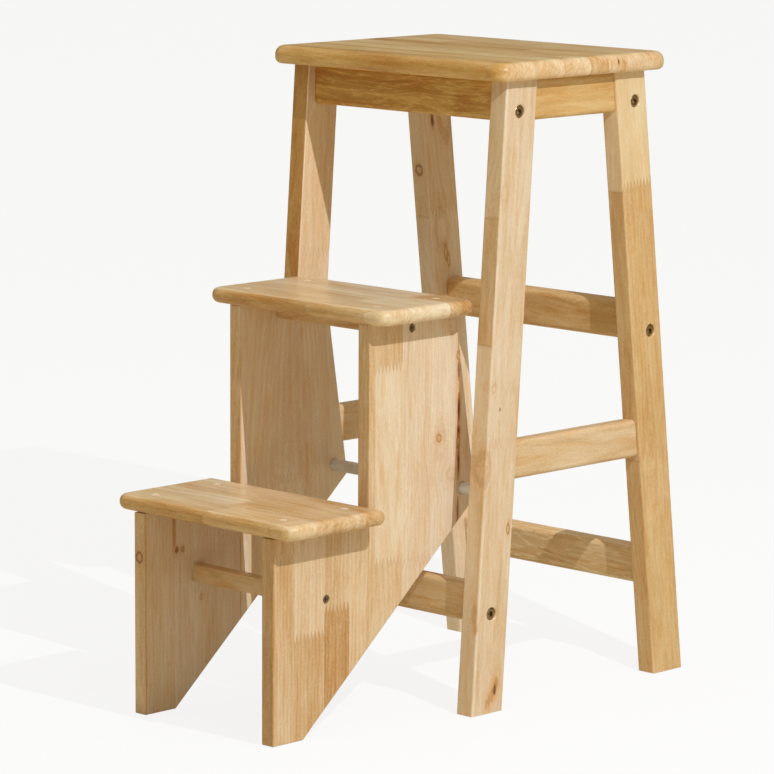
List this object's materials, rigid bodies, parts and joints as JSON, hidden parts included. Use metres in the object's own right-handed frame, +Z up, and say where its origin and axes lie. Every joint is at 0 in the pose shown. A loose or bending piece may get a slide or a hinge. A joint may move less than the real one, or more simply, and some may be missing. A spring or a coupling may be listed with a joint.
{
  "type": "folding step stool chair",
  "caption": "Wooden stool on splayed legs with a step unit that turns about a steel rod, swinging up, over and back to fold inside the frame.",
  "frame": {"origin": "on the floor, at the centre of the unfolded stool's bounding box", "axes": "+Z up, +Y the way a person climbs, +X to the right of that person"},
  "size_m": [0.318, 0.5328, 0.63],
  "materials": {
    "board_wood": "clear satin lacquer over edge-glued staves",
    "leg_wood": "clear satin lacquer over knotty pale wood",
    "rail_wood": "clear satin lacquer",
    "panel_wood": "clear satin lacquer over edge-glued and finger-jointed staves",
    "plug_wood": "sanded flush and lacquered",
    "rod_steel": "drawn steel, satin",
    "bolt_brass": "dark antique brass plating",
    "screw_steel": "zinc plated"
  },
  "bodies": {
    "stool": {"seat_board": "board_wood", "leg_front_left": "leg_wood", "leg_rear_left": "leg_wood", "apron_left": "rail_wood", "side_rail_left": "rail_wood", "leg_front_right": "leg_wood", "leg_rear_right": "leg_wood", "apron_right": "rail_wood", "side_rail_right": "rail_wood", "apron_front": "rail_wood", "apron_rear": "rail_wood", "front_lower_rail": "rail_wood", "rear_upper_rail": "rail_wood", "rear_lower_rail": "rail_wood", "pivot_rod": "rod_steel", "seat_screw_apron_front": "screw_steel", "seat_screw_apron_rear": "screw_steel", "bolt_apron_front_left": "bolt_brass", "bolt_apron_front_right": "bolt_brass", "bolt_apron_rear_left": "bolt_brass", "bolt_apron_rear_right": "bolt_brass", "bolt_front_lower_rail_left": "bolt_brass", "bolt_front_lower_rail_right": "bolt_brass", "bolt_rear_upper_rail_left": "bolt_brass", "bolt_rear_upper_rail_right": "bolt_brass", "barrel_nut_apron_front_left": "screw_steel", "barrel_nut_apron_front_right": "screw_steel", "barrel_nut_apron_rear_left": "screw_steel", "barrel_nut_apron_rear_right": "screw_steel", "barrel_nut_front_lower_rail_left": "screw_steel", "barrel_nut_front_lower_rail_right": "screw_steel", "barrel_nut_rear_upper_rail_left": "screw_steel", "barrel_nut_rear_upper_rail_right": "screw_steel"},
    "step_unit": {"step_panel_left": "panel_wood", "step_panel_right": "panel_wood", "lower_tread": "board_wood", "upper_tread": "board_wood", "lower_cross_batten": "rail_wood", "upper_cross_batten": "rail_wood", "batten_screw_lower_left": "screw_steel", "batten_screw_lower_right": "screw_steel", "batten_screw_upper_left": "screw_steel", "batten_screw_upper_right": "screw_steel", "lower_tread_screw_1": "screw_steel", "lower_tread_screw_2": "screw_steel", "lower_tread_screw_3": "screw_steel", "lower_tread_screw_4": "screw_steel", "upper_tread_screw_1": "screw_steel", "upper_tread_screw_2": "screw_steel", "upper_tread_screw_3": "screw_steel", "upper_tread_screw_4": "screw_steel", "lower_tread_plug_1": "plug_wood", "lower_tread_plug_2": "plug_wood", "lower_tread_plug_3": "plug_wood", "lower_tread_plug_4": "plug_wood", "upper_tread_plug_1": "plug_wood", "upper_tread_plug_2": "plug_wood", "upper_tread_plug_3": "plug_wood", "upper_tread_plug_4": "plug_wood"}
  },
  "joints": [
    {"name": "step_fold", "type": "hinge", "parent": "stool", "child": "step_unit", "pos_m": [0, -0.00807, 0.214], "axis": [-1, 0, 0], "range_deg": [0, 144]}
  ]
}
